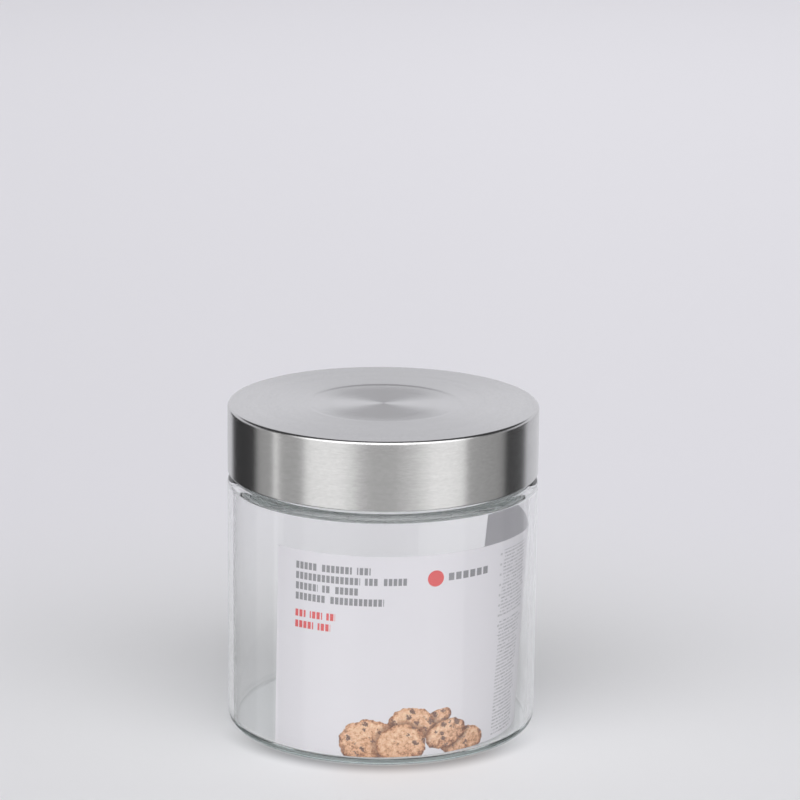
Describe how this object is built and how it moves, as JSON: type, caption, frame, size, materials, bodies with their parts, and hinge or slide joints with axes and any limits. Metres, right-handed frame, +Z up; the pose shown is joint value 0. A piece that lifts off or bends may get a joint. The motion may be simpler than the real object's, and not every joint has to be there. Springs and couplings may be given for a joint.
{
  "type": "lidded glass canister",
  "caption": "Straight-sided round glass storage jar with a flush screw-on brushed-steel lid, a sealed plastic liner inside the lid and a loose printed sheet inside the glass.",
  "frame": {"origin": "middle of the ring that the glass rests on, on the jar's axis", "axes": "+Z up along the jar's axis, -Y towards the front of the printed sheet, +X to its right"},
  "size_m": [0.095, 0.095, 0.1],
  "materials": {
    "clear_glass": "clear, faint green at the edges",
    "brushed_steel": "brushed in circles",
    "liner_plastic": "satin, translucent white",
    "seal_silicone": "smooth matt silicone",
    "printed_paper": "uncoated white paper with print"
  },
  "bodies": {
    "jar": {"glass_jar": "clear_glass", "label_insert": "printed_paper"},
    "seal": {"seal_ring": "seal_silicone"},
    "lid": {"lid_shell": "brushed_steel", "lid_liner": "liner_plastic"}
  },
  "joints": [
    {"name": "lid_lift", "type": "slide", "parent": "jar", "child": "seal", "axis": [0, 0, 1], "range_m": [0, 0.0241]},
    {"name": "lid_turn", "type": "hinge", "parent": "seal", "child": "lid", "pos_m": [0, 0, 0.079], "axis": [0, 0, 1], "range_deg": [0, 432]}
  ],
  "couplings": [
    {"joint": "lid_lift", "follows": "lid_turn", "m_per_rad": 0.0031831}
  ]
}
